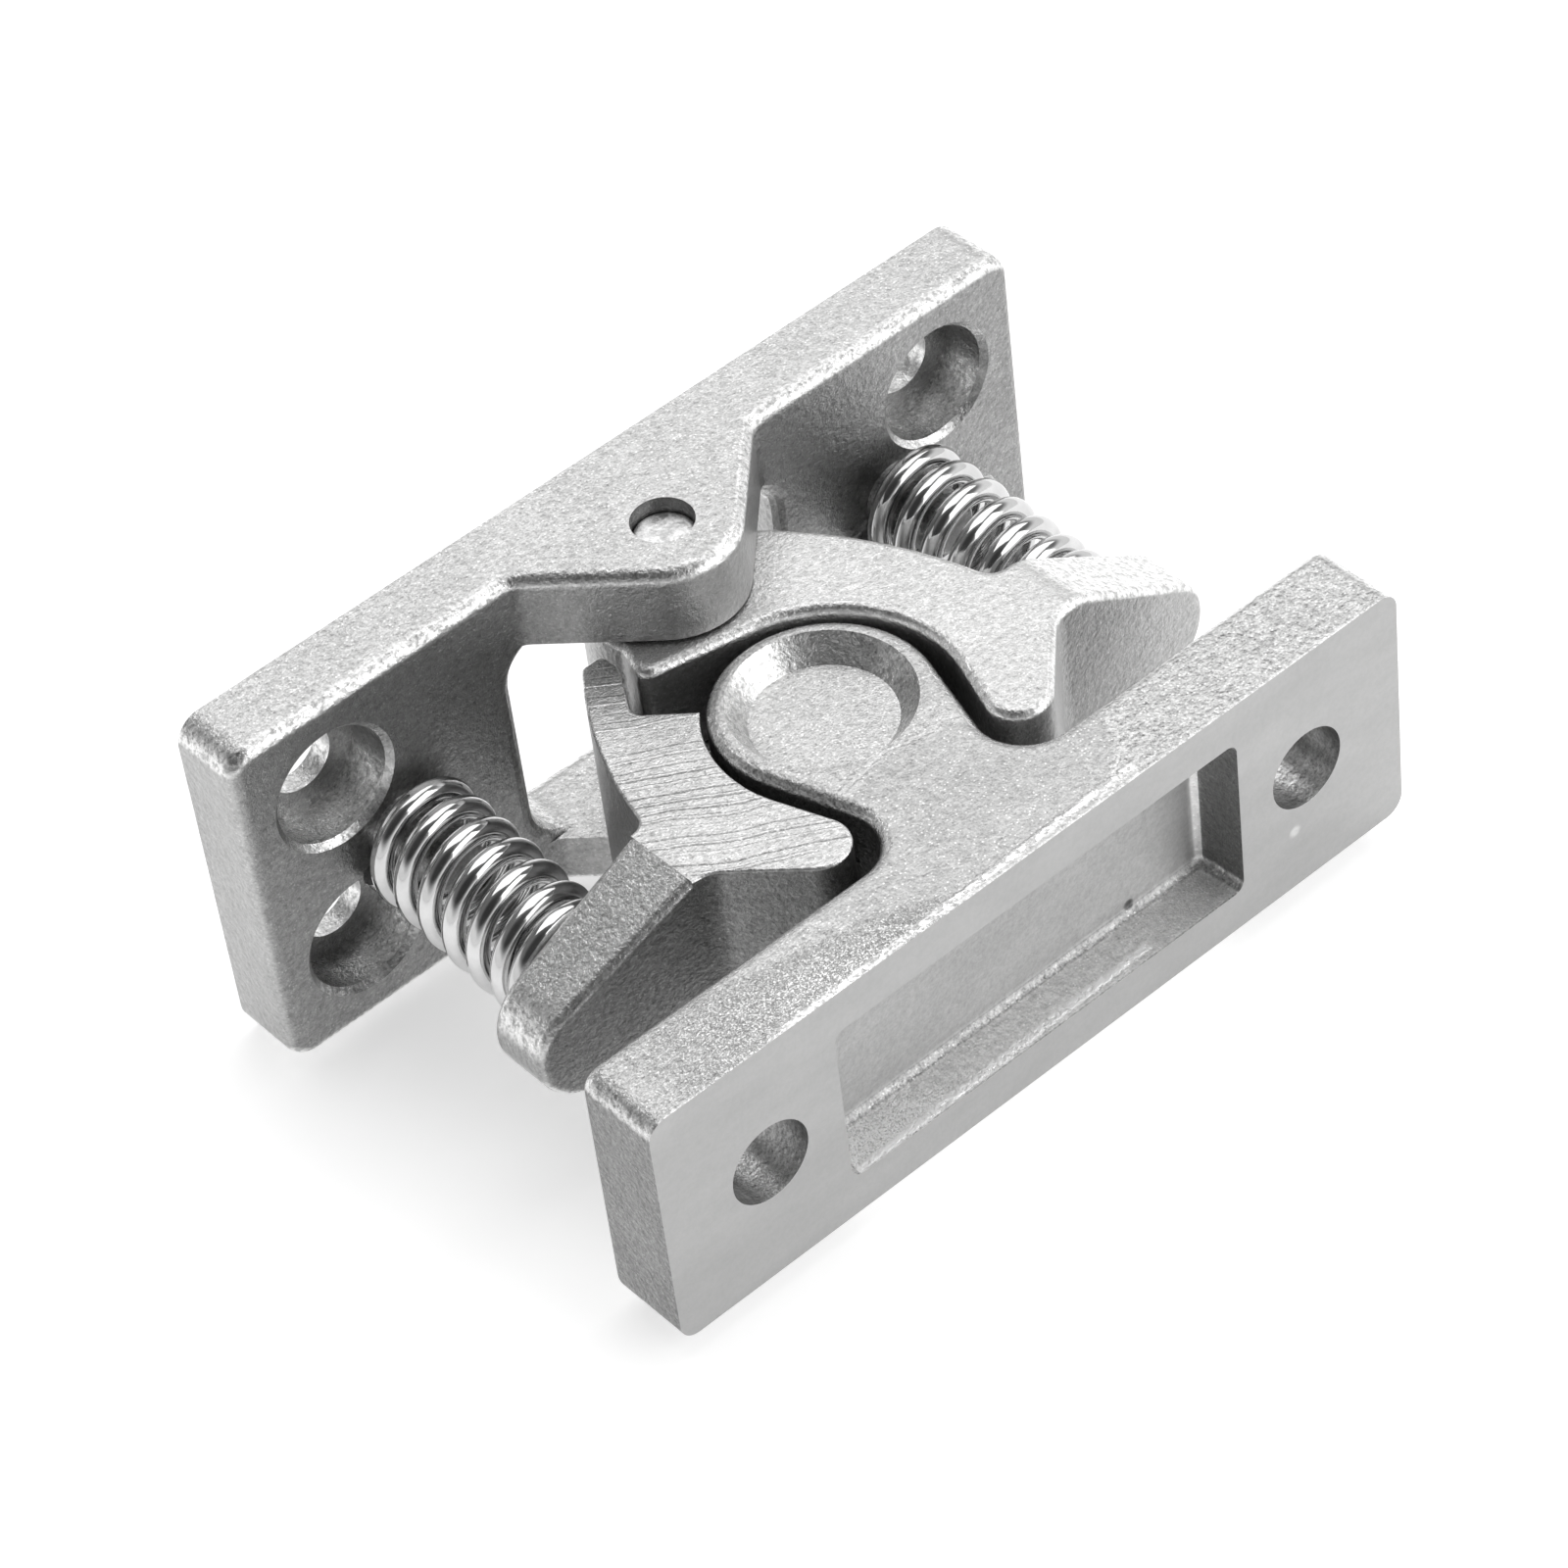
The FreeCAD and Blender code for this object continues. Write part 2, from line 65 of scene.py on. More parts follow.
# Tones added to the base colour, matched to the photograph. The specks are the casting's own grain.
# The rims' tone is a painted highlight and partly edge wear. The other tones are painted shade on the
# faces turned to the left, to the studio's dark side and to the striker. Whether the real metal has
# them, or only the light it was photographed in, isn't known
RIM_HIGHLIGHT_AND_WEAR_TONE = 0.36
SPECK_TONE = 0.3
LEFT_FACING_SHADE_TONE = -0.05
DARK_SIDE_SHADE_TONE = -0.08
TOWARD_STRIKER_SHADE_TONE = -0.2
RIGHT_JAW_TOWARD_STRIKER_SHADE_TONE = -0.1

# The front of the base's plate ends and the fronts of its ears begin between these places along Y
PLATE_TO_EARS = (-0.0055, -0.0075)

# The steps on the left jaw's top
LAYERS_PER_METRE = 1350.0
ACROSS_LAYERS = (0.584, 0.811, 0)

# Places and sizes of the striker's marks, in metres but for the patch's limit and the line's slant
PATCH_X = -0.001
PATCH_Y = -0.0335
PATCH_REACH_X = 0.0108
PATCH_REACH_Y = 0.0062
PATCH_LIMIT = 1.5
LINE_Y = -0.03810
LINE_HALF_WIDTH = 0.00042
LINE_SLANT = -0.024
FRONT_EDGE_Y = -0.03905
FRONT_EDGE_HALF_WIDTH = 0.0003
MARK = (0.0200, -0.0392, -0.0067)
MARK_R = 0.0006
NICK = (0.0094, -0.0355, -0.0072)
NICK_R = 0.0005

# A box in the striker's pocket, from just behind its mouth to past its floor. It leaves out the
# pocket's two end walls. It has no lower limit, so it covers the middle of the underside as well
POCKET_HALF_LENGTH = 0.0152
POCKET_MOUTH_Y = -0.0389
POCKET_PAST_FLOOR_Y = -0.0345
POCKET_TOP_Z = 0.0045

# The dish in the bulb's top, as distances from a point close to its middle
DISH_MIDDLE = (0, -0.0211, 0.0066)
DISH_FLOOR_ENDS = (0.0048, 0.0045)
DISH_WALL_STARTS = (0.0044, 0.0047)
DISH_WALL_ENDS = (0.0061, 0.0058)

# The striker's screw holes, with a little of the metal about them
HOLE_X = 0.0212
HOLE_Z = -0.0022
HOLE_MARK_R = 0.0034

# Camera, fitted to the photograph
SENSOR_MM = 36
LENS_MM = 129.647
CAMERA_PLACE = (-0.14224482, -0.21050192, 0.23316742)
CAMERA_RIGHT = (0.74336639, -0.66184087, -0.09681459)
CAMERA_DOWN = (-0.51959601, -0.48022541, -0.70668489)
CAMERA_AHEAD = (0.42122012, 0.57563028, -0.70087331)
CAMERA_CLIP = (0.01, 10)

# The floor is lifted to white for the eye and for metal, and keeps the shadow in both
FLOOR_LIFT = 0.5
FLOOR_Z = -0.0129
FLOOR_HALF_SIZE = 3.0

# The studio that the eye and metal see is white low down, grey overhead and darker to one side
CEILING_GREY = 0.2
CEILING_HEIGHTS = (0.25, 0.55)
DARK_SIDE = (-0.51, -0.46, 0.73)
DARK_SIDE_EDGES = (0.7, 0.97)
DARK_SIDE_SHARE = 0.25

# Even light from all round on matt surfaces, and the point that the lamps shine at
ROOM_LIGHT = 0.34
LIT_POINT = (0, -0.018, 0)


class Tree:
    """A short way to write the nodes and links of a material or of the world."""

    def __init__(self, owner, output):
        owner.use_nodes = True
        self.owner = owner
        self.nodes = owner.node_tree.nodes
        self.links = owner.node_tree.links
        self.nodes.clear()
        self.output = self.nodes.new(output)
        coordinates = self.nodes.new("ShaderNodeTexCoord")
        self.place = coordinates.outputs["Object"]
        self.direction = coordinates.outputs["Generated"]

    def set(self, socket, value):
        if isinstance(value, bpy.types.NodeSocket):
            self.links.new(value, socket)
        elif value is not None:
            socket.default_value = value

    def math(self, kind, a, b=None):
        node = self.nodes.new("ShaderNodeMath")
        node.operation = kind
        for socket, value in zip(node.inputs, (a, b)):
            self.set(socket, value)
        return node.outputs[0]

    def add(self, *parts):
        """Sum of several values, each of them alone or as a value and its weight."""
        total = None
        for part in parts:
            if isinstance(part, tuple):
                part = self.math("MULTIPLY", part[0], part[1])
            total = part if total is None else self.math("ADD", total, part)
        return total

    def times(self, *parts):
        """Product of several values."""
        total = parts[0]
        for part in parts[1:]:
            total = self.math("MULTIPLY", total, part)
        return total

    def rest_of(self, value):
        """What a value between zero and one lacks to one."""
        return self.math("SUBTRACT", 1.0, value)

    def moved(self, stretch=(1, 1, 1), shift=(0, 0, 0)):
        if tuple(stretch) == (1, 1, 1) and tuple(shift) == (0, 0, 0):
            return self.place
        mapping = self.nodes.new("ShaderNodeMapping")
        self.links.new(self.place, mapping.inputs[0])
        mapping.inputs["Scale"].default_value = stretch
        mapping.inputs["Location"].default_value = shift
        return mapping.outputs[0]

    def noise(self, scale, detail=4.0, rough=0.55, stretch=(1, 1, 1), shift=(0, 0, 0)):
        node = self.nodes.new("ShaderNodeTexNoise")
        self.links.new(self.moved(stretch, shift), node.inputs["Vector"])
        node.inputs["Scale"].default_value = scale
        node.inputs["Detail"].default_value = detail
        node.inputs["Roughness"].default_value = rough
        return node.outputs["Fac"]

    def specks(self, scale, share, radius):
        """Small round spots in some cells of a random pattern, one at each spot's middle."""
        node = self.nodes.new("ShaderNodeTexVoronoi")
        self.links.new(self.place, node.inputs["Vector"])
        node.inputs["Scale"].default_value = scale
        spot = self.ramp(node.outputs["Distance"], radius, radius * 0.45)
        chosen = self.math("LESS_THAN", self.axis(node.outputs["Color"], 0), share)
        return self.times(spot, chosen)

    def ramp(self, value, low, high, to_low=0.0, to_high=1.0, smooth=True):
        node = self.nodes.new("ShaderNodeMapRange")
        node.interpolation_type = "SMOOTHSTEP" if smooth else "LINEAR"
        self.links.new(value, node.inputs["Value"])
        node.inputs["From Min"].default_value = low
        node.inputs["From Max"].default_value = high
        node.inputs["To Min"].default_value = to_low
        node.inputs["To Max"].default_value = to_high
        return node.outputs["Result"]

    def band(self, value, middle, half):
        """One in the middle of a band of values, and zero outside it."""
        away = self.math("ABSOLUTE", self.math("SUBTRACT", value, middle))
        return self.ramp(away, half, half * 0.3)

    def vector(self, kind, a, b):
        node = self.nodes.new("ShaderNodeVectorMath")
        node.operation = kind
        self.links.new(a, node.inputs[0])
        node.inputs[1].default_value = b
        return node.outputs["Value"]

    def near(self, centre, radius):
        """One close to a point of the object, and zero past the radius."""
        return self.ramp(self.vector("DISTANCE", self.place, centre), radius, radius * 0.4)

    def mix(self, share, a, b):
        node = self.nodes.new("ShaderNodeMix")
        node.data_type = "RGBA"
        self.set(node.inputs["Factor"], share)
        self.set(node.inputs["A"], a)
        self.set(node.inputs["B"], b)
        return node.outputs["Result"]

    def axis(self, source, index):
        node = self.nodes.new("ShaderNodeSeparateXYZ")
        self.links.new(source, node.inputs[0])
        return node.outputs[index]

    def normal(self):
        """The surface's own smooth normal, before any bump."""
        return self.nodes.new("ShaderNodeNewGeometry").outputs["Normal"]

    def facing(self, index):
        """One part of the surface's normal."""
        return self.axis(self.normal(), index)

    def square_on(self, index, sign=1.0):
        """One where the surface looks straight along an axis, and zero where it leans away."""
        return self.ramp(self.math("MULTIPLY", self.facing(index), sign), 0.9, 0.99)

    def bump(self, height, strength, distance):
        node = self.nodes.new("ShaderNodeBump")
        node.inputs["Strength"].default_value = strength
        node.inputs["Distance"].default_value = distance
        self.links.new(height, node.inputs["Height"])
        return node.outputs[0]

    def grey(self, value, warm=(1, 1, 1)):
        """A colour of one brightness, with its red, green and blue scaled by warm."""
        colour = self.nodes.new("ShaderNodeCombineColor")
        for socket, share in zip(colour.inputs, warm):
            self.links.new(value if share == 1 else self.math("MULTIPLY", value, share), socket)
        return colour.outputs[0]

    def metal(self, colour, normal, rough):
        """Ends the tree as a metal, and gives the material."""
        shader = self.nodes.new("ShaderNodeBsdfPrincipled")
        shader.inputs["Metallic"].default_value = 1.0
        for word, value in (("Base Color", colour), ("Normal", normal), ("Roughness", rough)):
            self.links.new(value, shader.inputs[word])
        self.links.new(shader.outputs[0], self.output.inputs[0])
        return self.owner

    def seen_by_eye_and_metal(self, strength):
        """The strength for rays from the camera, off a mirror or through glass, and zero for the rest."""
        path = self.nodes.new("ShaderNodeLightPath").outputs
        seen = self.math("MAXIMUM", path["Is Camera Ray"], path["Is Glossy Ray"])
        seen = self.math("MAXIMUM", seen, path["Is Transmission Ray"])
        return self.math("MULTIPLY", seen, strength)


def material_tree(name):
    return Tree(bpy.data.materials.new(name), "ShaderNodeOutputMaterial")


class CastLook:
    """Height, brightness and roughness of a cast surface, which marks can change."""

    def __init__(self, t, tone):
        self.fine = t.noise(FINE, 3.0, 0.6)
        self.grit = t.noise(GRIT, 3.0, 0.6, shift=GRIT_SHIFT)
        # The grain's painted light and shade: the grit less the same grit a short step away
        downhill = tuple(a + b for a, b in zip(GRIT_SHIFT, BRIGHT_SLOPE))
        slope = t.math("SUBTRACT", self.grit, t.noise(GRIT, 3.0, 0.6, shift=downhill))
        sand = t.noise(SAND, 2.0, 0.5, shift=(0.6, 0.2, 0.1))
        drift = t.noise(DRIFT, 3.0, 0.5, shift=(0.2, 0.9, 0.4))
        self.height = t.add((self.grit, 0.75), (self.fine, 0.3), (sand, 0.3))
        self.rough = t.ramp(self.grit, 0.3, 0.7, 0.42, 0.3)

        # The grain shows less on upright faces and on those that look down
        calm = t.ramp(t.facing(2), 0.3, 0.9, 0.45, 1.0)
        self.specks = t.times(t.specks(SPECKS, 0.36, 0.36), calm)
        self.grain_light_and_shade = t.times(slope, calm)
        grain = t.add((self.fine, 0.34), (sand, 0.1), -0.22)
        self.tint = t.add((grain, calm), (self.grain_light_and_shade, 1.05), (drift, 0.1), tone - 0.05)

        # Faces by the way they look: to the striker, to the left, and to the studio's dark side. They are
        # painted darker as shade, but the faces turned to the left in the striker's pocket get painted
        # light
        self.inner = t.ramp(t.facing(1), -0.55, -0.9)
        self.left_facing_light_and_shade = t.ramp(t.facing(0), -0.6, -0.9)
        self.dark_side_shade = t.ramp(t.vector("DOT_PRODUCT", t.normal(), DARK_SIDE), 0.8, 0.96)

        # Rims are the rounded and sloping stretches between level and upright faces. Their brighter tone
        # is a painted highlight and partly edge wear, and it is left off where they face the studio's
        # dark side
        up = t.math("ABSOLUTE", t.facing(2))
        sloping = t.times(t.ramp(up, 0.12, 0.4), t.ramp(up, 0.985, 0.9))
        uneven = t.ramp(self.grit, 0.36, 0.56, 0.3, 1.2)
        self.rim_highlight_and_wear = t.times(sloping, uneven, t.rest_of(self.dark_side_shade))


def cast_steel(name, tone, marks):
    """Cast surface: sandy grain, bright specks and a little drift of tone, with painted light and shade
    on the grain, a painted highlight on the rims that is partly wear, and painted shade on faces turned
    left or to the studio's dark side.
    """
    t = material_tree(name)
    look = CastLook(t, tone)
    # Each part's marks: its own marks, where it has them, and painted light and shade
    marks(t, look)
    tint = t.add(look.tint, (look.specks, SPECK_TONE), (look.rim_highlight_and_wear, RIM_HIGHLIGHT_AND_WEAR_TONE))
    tint = t.add(tint, (look.left_facing_light_and_shade, LEFT_FACING_SHADE_TONE), (look.dark_side_shade, DARK_SIDE_SHADE_TONE))
    rough = t.add(look.rough, (look.rim_highlight_and_wear, -0.05))
    return t.metal(t.grey(tint, (1, 0.999, 0.995)), t.bump(look.height, 0.7, 0.00014), rough)


def base_painted_shade(t, look):
    """Painted shade on the faces of the plate's front turned to the striker. The ears' fronts stand out
    of it and get little of that shade.
    """
    on_plate = t.ramp(t.axis(t.place, 1), *PLATE_TO_EARS, 1.0, 0.1)
    look.tint = t.add(look.tint, (t.times(look.inner, on_plate), TOWARD_STRIKER_SHADE_TONE))


def right_jaw_painted_shade(t, look):
    """The faces turned to the striker are painted a little darker, as shade."""
    look.tint = t.add(look.tint, (look.inner, RIGHT_JAW_TOWARD_STRIKER_SHADE_TONE))


def layer_steps_and_painted_shade(t, look):
    """Fine wavy steps that run across the left jaw's top, each with its own strength, painted darker in
    their grooves and lighter on their lips, and painted shade on the faces turned to the striker and the
    arm's end.
    """
    along = t.vector("DOT_PRODUCT", t.place, ACROSS_LAYERS)
    wander = t.noise(110, 2.0, 0.5, shift=(0.4, 0.4, 0.9))
    ragged = t.noise(1300, 3.0, 0.6, shift=(0.1, 0.8, 0.3))
    climb = t.add((along, LAYERS_PER_METRE), (wander, 2.6), (ragged, 0.22))
    step = t.math("FRACT", climb)
    own = t.nodes.new("ShaderNodeTexWhiteNoise")
    own.noise_dimensions = "1D"
    t.links.new(t.math("FLOOR", climb), own.inputs["W"])
    strength = t.ramp(own.outputs["Value"], 0.1, 1.0, 0.1, 1.0, smooth=False)
    broken = t.ramp(t.noise(240, 2.0, 0.5, shift=(0.8, 0.3, 0.2)), 0.3, 0.5)
    seen = t.times(strength, broken, t.square_on(2))
    groove = t.times(t.band(step, 0.93, 0.1), seen)
    lip = t.times(t.band(step, 0.14, 0.14), seen)
    look.height = t.add(look.height, (groove, -0.6), (lip, 0.25))
    # The grooves are painted darker as shade and the lips lighter as highlight
    look.tint = t.add(look.tint, (groove, -0.16), (lip, 0.07))

    # The faces turned to the striker and the arm's end are painted darker, as shade
    look.tint = t.add(look.tint, (look.inner, TOWARD_STRIKER_SHADE_TONE - 0.05), (look.left_facing_light_and_shade, -0.16))


def neck_patch(t, top):
    """The finer patch on the striker's top, with a ragged outline, and the line along that outline."""
    x, y = (t.axis(t.place, index) for index in range(2))
    over = t.math("DIVIDE", t.math("SUBTRACT", x, PATCH_X), PATCH_REACH_X)
    back = t.math("DIVIDE", t.math("SUBTRACT", y, PATCH_Y), PATCH_REACH_Y)
    reach = t.add((over, over), (back, back), (t.noise(260, 3.0, 0.6, shift=(0.7, 0.5, 0.1)), 0.8))
    patch = t.times(t.ramp(reach, PATCH_LIMIT, 1.25), top)
    return patch, t.times(t.band(reach, PATCH_LIMIT, 0.07), top)


def raised_line_and_highlight(t, look, top):
    """The raised line just behind the striker's top front edge, which spreads out to the left, and its
    painted highlight.
    """
    x, y = (t.axis(t.place, index) for index in range(2))
    ragged = t.noise(1500, 4.0, 0.65, shift=(0.2, 0.6, 0.5))
    line_y = t.add(y, (x, LINE_SLANT), (ragged, 0.0005))
    line = t.times(t.band(line_y, LINE_Y, LINE_HALF_WIDTH), t.ramp(x, 0.0090, 0.0082))
    line = t.times(line, t.ramp(x, -0.021, -0.016), t.ramp(look.grit, 0.34, 0.5, 0.55, 1.0))
    fan = t.times(t.ramp(t.add(y, (x, 0.25)), -0.0380, -0.0410), t.ramp(look.fine, 0.42, 0.56))
    fan = t.times(fan, t.ramp(x, -0.004, -0.010), t.ramp(x, -0.030, -0.012))
    return t.times(t.math("MAXIMUM", line, t.times(fan, 0.8)), top)


def in_pocket(t):
    """One in the striker's pocket but for its end walls, and on the middle of the underside."""
    x, y, z = (t.axis(t.place, index) for index in range(3))
    across = t.math("LESS_THAN", t.math("ABSOLUTE", x), POCKET_HALF_LENGTH)
    behind_mouth = t.math("GREATER_THAN", y, POCKET_MOUTH_Y)
    before_floor = t.math("LESS_THAN", y, POCKET_PAST_FLOOR_Y)
    return t.times(across, behind_mouth, before_floor, t.math("LESS_THAN", z, POCKET_TOP_Z))


def in_screw_holes(t):
    """One in and close about the striker's two screw holes."""
    from_hole = t.math("SUBTRACT", t.math("ABSOLUTE", t.axis(t.place, 0)), HOLE_X)
    above_hole = t.math("SUBTRACT", t.axis(t.place, 2), HOLE_Z)
    return t.math("LESS_THAN", t.add((from_hole, from_hole), (above_hole, above_hole)), HOLE_MARK_R ** 2)


def dish_tones(t, look, top):
    """The dish's wall and floor are a little brighter."""
    from_middle = t.vector("DISTANCE", t.place, DISH_MIDDLE)
    wall = t.times(t.ramp(from_middle, *DISH_WALL_STARTS), t.ramp(from_middle, *DISH_WALL_ENDS))
    wall = t.times(wall, t.ramp(t.facing(2), 0.985, 0.95))
    floor = t.times(t.ramp(from_middle, *DISH_FLOOR_ENDS), top)
    look.tint = t.add(look.tint, (wall, 0.06), (floor, 0.05))


def pocket_painted_light_and_shade(t, look, pocket, not_front):
    """Painted light on the pocket's walls, and painted shade on the leaning stretches of its hollow
    corners.
    """
    leaning = t.times(t.ramp(t.facing(2), 0.2, 0.4), t.ramp(t.facing(2), 0.97, 0.88))
    walls = t.times(pocket, not_front)
    look.tint = t.add(look.tint, (walls, 0.30), (t.times(pocket, leaning), -0.36))

    # Faces turned to the left get painted light in the pocket and painted shade outside it
    look.tint = t.add(look.tint, (t.times(look.left_facing_light_and_shade, pocket), 0.16))
    look.left_facing_light_and_shade = t.times(look.left_facing_light_and_shade, t.rest_of(pocket))
    look.tint = t.add(look.tint, (look.left_facing_light_and_shade, -0.15))


def striker_marks_and_painted_light(t, look):
    """Smooth front, a finer patch on the neck, a raised line by the front edge, a mark and a nick, with
    painted highlights on the line and the front edge, and painted light and shade in the pocket and on
    faces turned to the left.
    """
    front = t.square_on(1, -1.0)
    not_front = t.rest_of(front)
    top = t.square_on(2)
    pocket = in_pocket(t)
    outside = t.rest_of(pocket)
    patch, patch_line = neck_patch(t, top)
    patch = t.times(patch, outside)
    line = raised_line_and_highlight(t, look, top)
    mark = t.near(MARK, MARK_R)
    nick = t.near(NICK, NICK_R)
    hole = t.times(in_screw_holes(t), not_front)

    # Height: the front is nearly flat, and the holes are smoother inside
    still = t.add(1.0, (front, -0.86), (patch, -0.3), (mark, 0.7))
    look.height = t.add((look.height, still), (line, 0.6), (patch_line, -0.2), (nick, -1.5))
    look.height = t.times(look.height, t.add(1.0, (hole, -0.6)))

    # Tone: the front has a streaky one of its own, and the other marks add to the casting's. The raised
    #     line's brightness is a painted highlight
    rubbed = t.noise(330, 4.0, 0.6, stretch=(0.35, 1, 1), shift=(0.5, 0.2, 0.8))
    front_tone = t.add(0.345, (rubbed, 0.12), (look.fine, 0.05))
    look.tint = t.add((look.tint, not_front), (front_tone, front))
    look.tint = t.add(look.tint, (patch, -0.05), (patch_line, 0.07), (line, 0.4))
    look.tint = t.add(look.tint, (mark, 0.2), (nick, -0.3), (hole, 0.06))
    # A painted highlight along the top front edge, broken up by the fine grain
    front_edge_highlight = t.band(t.axis(t.place, 1), FRONT_EDGE_Y, FRONT_EDGE_HALF_WIDTH)
    front_edge_highlight = t.times(front_edge_highlight, t.ramp(look.fine, 0.4, 0.55, 0.4, 1.0), top)
    look.tint = t.add(look.tint, (front_edge_highlight, 0.25))
    pocket_painted_light_and_shade(t, look, pocket, not_front)
    dish_tones(t, look, top)

    # The grain's painted light and shade is stronger at the top's right end and on the pocket's floor,
    # and weaker in the patch
    right_end = t.ramp(t.axis(t.place, 0), 0.0050, 0.0085)
    coarse = t.times(right_end, t.math("SUBTRACT", top, patch), outside)
    uneven = t.add((coarse, 0.5), (patch, -0.35), (t.times(pocket, front), 0.5))
    look.tint = t.add(look.tint, (look.grain_light_and_shade, uneven))

    look.specks = t.times(look.specks, not_front, t.rest_of(hole))
    look.rim_highlight_and_wear = t.times(look.rim_highlight_and_wear, t.math("SUBTRACT", outside, hole))
    look.rough = t.add(look.rough, (front, 0.06), (pocket, 0.1))


def pin_steel(name):
    """Plain pin with a fine mottle and spots drawn out along its length."""
    t = material_tree(name)
    fine = t.noise(4200, 4.0, 0.6)
    drawn_out = t.noise(1100, 3.0, 0.5, stretch=(1, 1, 0.1))
    height = t.add((fine, 0.6), (drawn_out, 0.6))
    colour = t.grey(t.ramp(t.add((fine, 0.5), (drawn_out, 0.5)), 0.38, 0.62, 0.42, 0.86))
    return t.metal(colour, t.bump(height, 0.5, 0.0001), t.ramp(drawn_out, 0.3, 0.7, 0.34, 0.48))


def spring_steel(name):
    """Bright wire with faint marks along its turns and patches of another shine."""
    t = material_tree(name)
    marks = t.noise(2600, 4.0, 0.6, stretch=(0.25, 1.0, 0.25))
    patches = t.noise(420, 4.0, 0.6)
    colour = t.grey(t.ramp(patches, 0.3, 0.7, 0.56, 0.66))
    return t.metal(colour, t.bump(marks, 0.12, 0.00004), t.ramp(patches, 0.4, 0.75, 0.07, 0.18))


def smooth_by_angle(mesh, degrees):
    """Shades faces smooth and keeps edges over the angle sharp."""
    mesh.shade_smooth()
    mesh.set_sharp_from_angle(angle=math.radians(degrees))


def spring_line(side, turn):
    """Centre of one spring and a point of its wire after so many turns from the base."""
    open_turns = SPRING_TURNS - 2 * END_TURNS
    length = SPRING_START_Y - SPRING_END_Y
    pitch = (length - 2 * END_TURNS * CLOSED_PITCH) / open_turns
    low = min(turn, END_TURNS)
    middle = min(max(turn - END_TURNS, 0), open_turns)
    high = max(turn - END_TURNS - open_turns, 0)
    travel = (low + high) * CLOSED_PITCH + middle * pitch
    share = travel / length
    x = side * (SPRING_X + (SPRING_ARM_X - SPRING_X) * share)
    centre = Vector((x, SPRING_START_Y - travel, SPRING_ARM_Z * share))
    angle = math.radians(START_ANGLE + 360 * turn)
    return centre, centre + SPRING_MEAN_R * Vector((math.cos(angle), 0, math.sin(angle)))


def make_spring(side, name):
    """Round wire swept along the spring's line, with both ends cut square."""
    steps = int(SPRING_TURNS * STEPS_PER_TURN)
    around = POINTS_AROUND
    line = [spring_line(side, SPRING_TURNS * i / steps) for i in range(steps + 1)]
    vertices = []
    for i, (centre, p) in enumerate(line):
        ahead = line[min(i + 1, steps)][1] - line[max(i - 1, 0)][1]
        ahead.normalize()
        across = ahead.cross(p - centre).normalized()
        out = across.cross(ahead)
        for k in range(around):
            a = 2 * math.pi * k / around
            vertices.append(p + (out * math.cos(a) + across * math.sin(a)) * WIRE_R)
    faces = []
    for i in range(steps):
        for k in range(around):
            n = (k + 1) % around
            faces.append((i * around + k, i * around + n, (i + 1) * around + n, (i + 1) * around + k))
    faces.append(tuple(range(around - 1, -1, -1)))
    faces.append(tuple(steps * around + k for k in range(around)))
    mesh = bpy.data.meshes.new(name)
    mesh.from_pydata([tuple(v) for v in vertices], [], faces)
    mesh.update()
    smooth_by_angle(mesh, 40)
    piece = bpy.data.objects.new(name, mesh)
    scene.collection.objects.link(piece)
    return piece


def dress(obj, material):
    obj.data.materials.clear()
    obj.data.materials.append(material)


def make_camera():
    data = bpy.data.cameras.new("camera")
    data.sensor_width = SENSOR_MM
    data.lens = LENS_MM
    data.clip_start, data.clip_end = CAMERA_CLIP
    camera = bpy.data.objects.new("camera", data)
    scene.collection.objects.link(camera)
    turn = Matrix((Vector(CAMERA_RIGHT), -Vector(CAMERA_DOWN), -Vector(CAMERA_AHEAD))).transposed()
    camera.matrix_world = Matrix.Translation(CAMERA_PLACE) @ turn.to_4x4()
    scene.camera = camera


def floor_paper():
    """Pale matt paper that is lifted to white where the eye or metal sees it."""
    t = material_tree("floor_paper")
    matt = t.nodes.new("ShaderNodeBsdfDiffuse")
    paper = t.mix(t.noise(300, 3.0, 0.5), (0.80, 0.80, 0.80, 1), (0.82, 0.82, 0.82, 1))
    t.links.new(paper, matt.inputs["Color"])
    glow = t.nodes.new("ShaderNodeEmission")
    t.links.new(t.seen_by_eye_and_metal(FLOOR_LIFT), glow.inputs["Strength"])
    lit = t.nodes.new("ShaderNodeAddShader")
    t.links.new(matt.outputs[0], lit.inputs[0])
    t.links.new(glow.outputs[0], lit.inputs[1])
    t.links.new(lit.outputs[0], t.output.inputs[0])
    return t.owner


def make_floor():
    mesh = bpy.data.meshes.new("floor")
    half = FLOOR_HALF_SIZE
    corners = [(x, y, FLOOR_Z) for x, y in ((-half, -half), (half, -half), (half, half), (-half, half))]
    mesh.from_pydata(corners, [], [(0, 1, 2, 3)])
    floor = bpy.data.objects.new("floor", mesh)
    scene.collection.objects.link(floor)
    dress(floor, floor_paper())


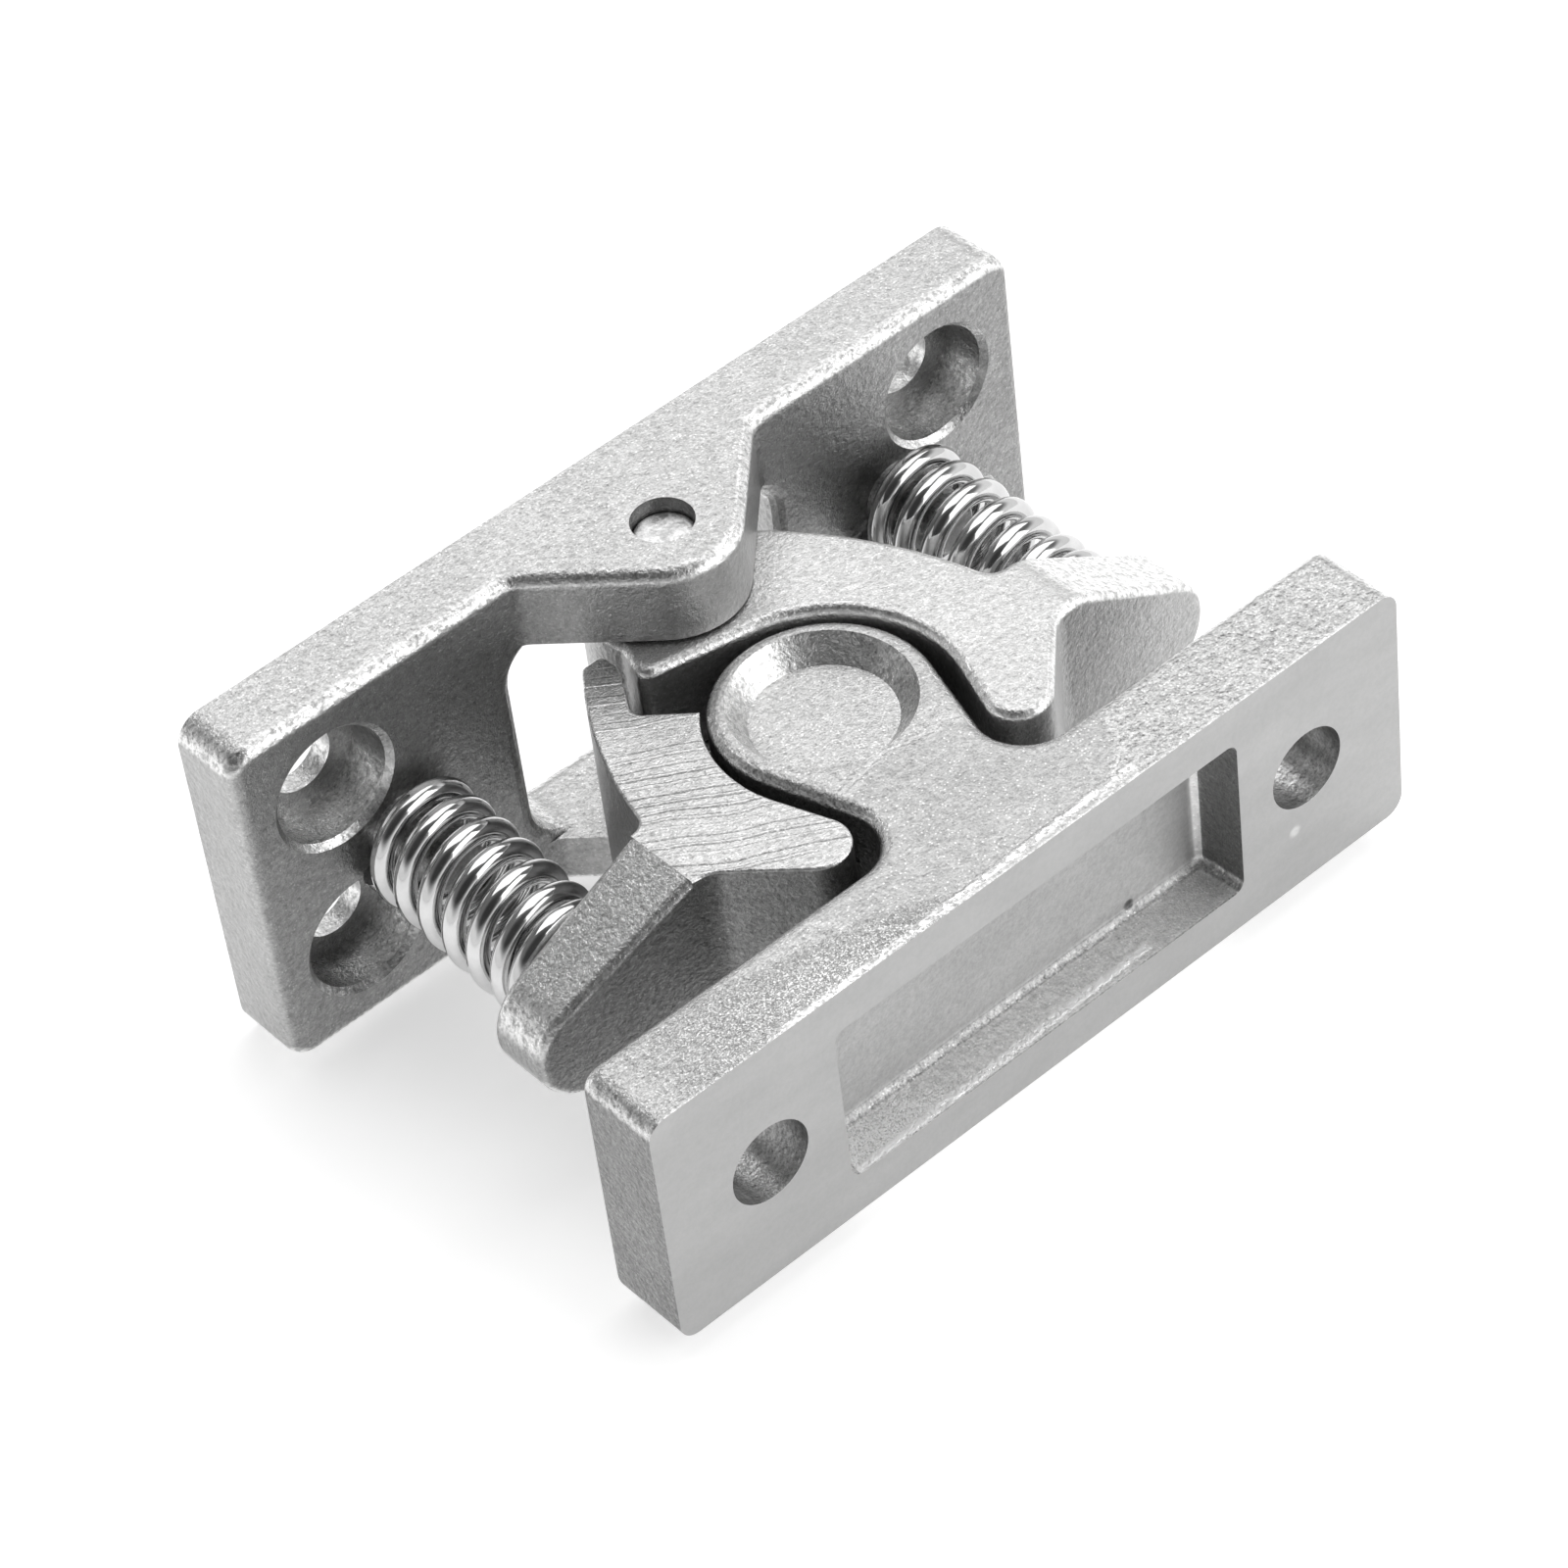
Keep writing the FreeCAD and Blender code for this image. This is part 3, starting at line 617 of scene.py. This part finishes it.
def softbox(name, toward, distance, size, power):
    """Area lamp that shines at the part from one direction."""
    data = bpy.data.lights.new(name, "AREA")
    data.shape = "RECTANGLE"
    data.size = size
    data.size_y = size
    data.energy = power
    lamp = bpy.data.objects.new(name, data)
    scene.collection.objects.link(lamp)
    back = Vector(toward).normalized()
    lamp.location = Vector(LIT_POINT) + back * distance
    lamp.rotation_mode = "QUATERNION"
    lamp.rotation_quaternion = (-back).to_track_quat("-Z", "Y")


def make_world():
    """Even grey light on matt surfaces, and the studio that only the eye and metal see."""
    scene.world = bpy.data.worlds.new("studio")
    t = Tree(scene.world, "ShaderNodeOutputWorld")
    ceiling = t.ramp(t.axis(t.direction, 2), *CEILING_HEIGHTS, 1.0, CEILING_GREY)
    towards_dark_side = t.vector("DOT_PRODUCT", t.direction, DARK_SIDE)
    dark_side = t.ramp(towards_dark_side, *DARK_SIDE_EDGES, 1.0, DARK_SIDE_SHARE)
    studio = t.nodes.new("ShaderNodeBackground")
    t.links.new(t.times(ceiling, dark_side), studio.inputs["Color"])
    light = t.nodes.new("ShaderNodeBackground")
    light.inputs["Color"].default_value = (ROOM_LIGHT, ROOM_LIGHT, ROOM_LIGHT, 1)
    choose = t.nodes.new("ShaderNodeMixShader")
    t.links.new(t.seen_by_eye_and_metal(1.0), choose.inputs[0])
    t.links.new(light.outputs[0], choose.inputs[1])
    t.links.new(studio.outputs[0], choose.inputs[2])
    t.links.new(choose.outputs[0], t.output.inputs[0])


# Metal
dress(nodes["base"], cast_steel("base_casting", tone=0.50, marks=base_painted_shade))
dress(nodes["left_jaw"], cast_steel("left_jaw_casting", tone=0.54, marks=layer_steps_and_painted_shade))
dress(nodes["right_jaw"], cast_steel("right_jaw_casting", tone=0.555, marks=right_jaw_painted_shade))
dress(nodes["striker"], cast_steel("striker_casting", tone=0.455, marks=striker_marks_and_painted_light))
dress(nodes["pivot_pin"], pin_steel("pin_steel"))

# Springs, each of which runs from the base at one end to its jaw at the other
wire = spring_steel("spring_wire")
for side, word in ((-1, "left"), (1, "right")):
    piece = make_spring(side, word + "_coil")
    dress(piece, wire)
    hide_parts(word + "_spring")
    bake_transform(piece)

# Camera, floor and light
make_camera()
make_floor()
softbox("overhead", toward=(0.35, 0.30, 0.88), distance=0.9, size=1.0, power=5.6)
softbox("front_right", toward=(0.45, -0.75, 0.50), distance=0.8, size=0.64, power=3.0)
make_world()
scene.view_settings.view_transform = "Standard"
